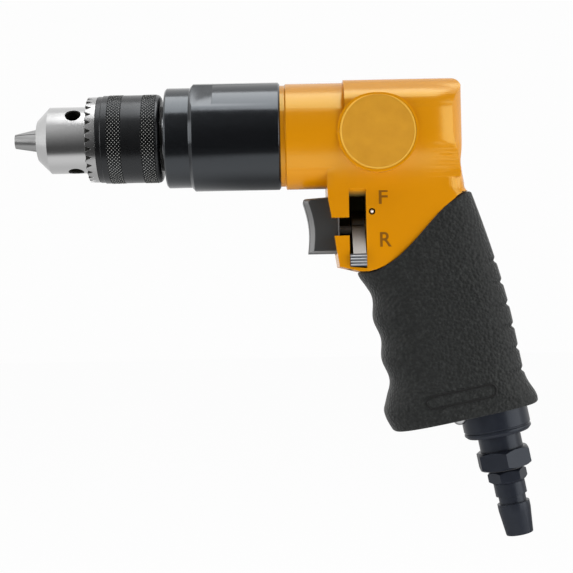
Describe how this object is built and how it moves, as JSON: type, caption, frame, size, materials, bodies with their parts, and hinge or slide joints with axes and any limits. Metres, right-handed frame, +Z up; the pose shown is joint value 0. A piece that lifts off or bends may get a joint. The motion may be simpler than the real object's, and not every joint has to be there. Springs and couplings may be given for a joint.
{
  "type": "air drill",
  "caption": "Reversible pistol-grip air drill with a keyed three-jaw chuck, a planetary gear head, a vane motor, a sprung trigger, a thumb reverse lever and a quick air plug.",
  "frame": {"origin": "centre of the chuck's mouth face, on the spindle axis", "axes": "+X from the nose to the rear along the spindle axis, +Z up, +Y to the drill's right"},
  "size_m": [0.2137, 0.0448, 0.1902],
  "materials": {
    "bright_steel": "turned bright",
    "ground_steel": "ground",
    "black_oxide": "black oxide, knurled",
    "blued_steel": "gloss blue-black enamel",
    "black_fitting": "blackened steel",
    "yellow_paint": "gloss enamel on an alloy casting",
    "gold_badge": "satin anodised",
    "grip_rubber": "fine grain",
    "trigger_plastic": "satin",
    "valve_brass": "machined",
    "felt": "pressed felt",
    "seal_rubber": "moulded",
    "vane_plastic": "cloth laminate",
    "mesh_wire": "woven wire"
  },
  "bodies": {
    "housing": {"gear_housing": "blued_steel", "ring_gear": "ground_steel", "spindle_bearing_outer": "ground_steel", "spindle_seal": "felt", "gear_spacer": "ground_steel", "motor_cylinder": "ground_steel", "front_end_plate": "ground_steel", "rear_end_plate": "ground_steel", "front_bearing_outer": "ground_steel", "rear_bearing_outer": "ground_steel", "cylinder_dowel": "ground_steel", "motor_housing": "yellow_paint", "grip_sleeve": "grip_rubber", "side_badge": "gold_badge", "base_screw": "bright_steel", "valve_seat_ring": "seal_rubber", "valve_spring": "ground_steel", "valve_bushing": "valve_brass", "valve_pin": "bright_steel", "detent_ball": "bright_steel", "detent_spring": "ground_steel", "inlet_bushing": "black_fitting", "inlet_strainer": "mesh_wire", "inlet_seal": "seal_rubber", "exhaust_muffler": "felt", "exhaust_collar": "black_fitting", "quick_plug": "black_fitting"},
    "spindle": {"spindle": "ground_steel", "planet_pins": "ground_steel", "spindle_bearing_inner": "ground_steel", "spindle_bearing_balls": "bright_steel", "chuck_body": "bright_steel", "chuck_screw": "ground_steel"},
    "chuck_sleeve": {"chuck_sleeve": "black_oxide", "chuck_nut": "ground_steel", "chuck_gear_ring": "bright_steel"},
    "jaw_1": {"chuck_jaw_1": "bright_steel"},
    "jaw_2": {"chuck_jaw_2": "bright_steel"},
    "jaw_3": {"chuck_jaw_3": "bright_steel"},
    "planet_1": {"planet_gear_1": "ground_steel"},
    "planet_2": {"planet_gear_2": "ground_steel"},
    "planet_3": {"planet_gear_3": "ground_steel"},
    "rotor": {"rotor": "ground_steel", "rotor_vanes": "vane_plastic", "front_bearing_inner": "ground_steel", "rear_bearing_inner": "ground_steel"},
    "trigger": {"trigger": "trigger_plastic", "trigger_rod": "ground_steel", "throttle_valve": "valve_brass"},
    "reverse_lever": {"reverse_lever": "bright_steel", "reverse_valve": "valve_brass"}
  },
  "joints": [
    {"name": "spindle_spin", "type": "hinge", "parent": "housing", "child": "spindle", "pos_m": [0.06, 0, 0], "axis": [1, 0, 0], "continuous": true},
    {"name": "sleeve_turn", "type": "hinge", "parent": "spindle", "child": "chuck_sleeve", "pos_m": [0.04, 0, 0], "axis": [-1, 0, 0], "range_deg": [0, 3239]},
    {"name": "jaw_slide_1", "type": "slide", "parent": "spindle", "child": "jaw_1", "axis": [0.9744, -0.2151, -0.0658], "range_m": [0, 0.01889]},
    {"name": "jaw_slide_2", "type": "slide", "parent": "spindle", "child": "jaw_2", "axis": [0.9744, 0.1645, -0.1534], "range_m": [0, 0.01889]},
    {"name": "jaw_slide_3", "type": "slide", "parent": "spindle", "child": "jaw_3", "axis": [0.9744, 0.0506, 0.2192], "range_m": [0, 0.01889]},
    {"name": "planet_spin_1", "type": "hinge", "parent": "spindle", "child": "planet_1", "pos_m": [0.0769, 0, 0.00975], "axis": [1, 0, 0], "continuous": true},
    {"name": "planet_spin_2", "type": "hinge", "parent": "spindle", "child": "planet_2", "pos_m": [0.0769, -0.00844, -0.00487], "axis": [1, 0, 0], "continuous": true},
    {"name": "planet_spin_3", "type": "hinge", "parent": "spindle", "child": "planet_3", "pos_m": [0.0769, 0.00844, -0.00487], "axis": [1, 0, 0], "continuous": true},
    {"name": "rotor_spin", "type": "hinge", "parent": "housing", "child": "rotor", "pos_m": [0.127, 0, 0], "axis": [1, 0, 0], "continuous": true},
    {"name": "trigger_pull", "type": "slide", "parent": "housing", "child": "trigger", "axis": [1, 0, 0], "range_m": [0, 0.0036], "stiffness_N_per_m": 900, "springref_m": -0.004, "deforming": ["valve_spring"]},
    {"name": "reverse_turn", "type": "hinge", "parent": "housing", "child": "reverse_lever", "pos_m": [0.1312, 0, -0.0394], "axis": [-1, 0, 0], "range_deg": [0, 76]}
  ],
  "couplings": [
    {"joint": "jaw_slide_2", "follows": "jaw_slide_1", "ratio": 1},
    {"joint": "jaw_slide_3", "follows": "jaw_slide_1", "ratio": 1},
    {"joint": "sleeve_turn", "follows": "jaw_slide_1", "rad_per_m": 2992},
    {"joint": "planet_spin_1", "follows": "spindle_spin", "ratio": -2.6667},
    {"joint": "planet_spin_2", "follows": "spindle_spin", "ratio": -2.6667},
    {"joint": "planet_spin_3", "follows": "spindle_spin", "ratio": -2.6667},
    {"joint": "rotor_spin", "follows": "spindle_spin", "ratio": 5}
  ]
}
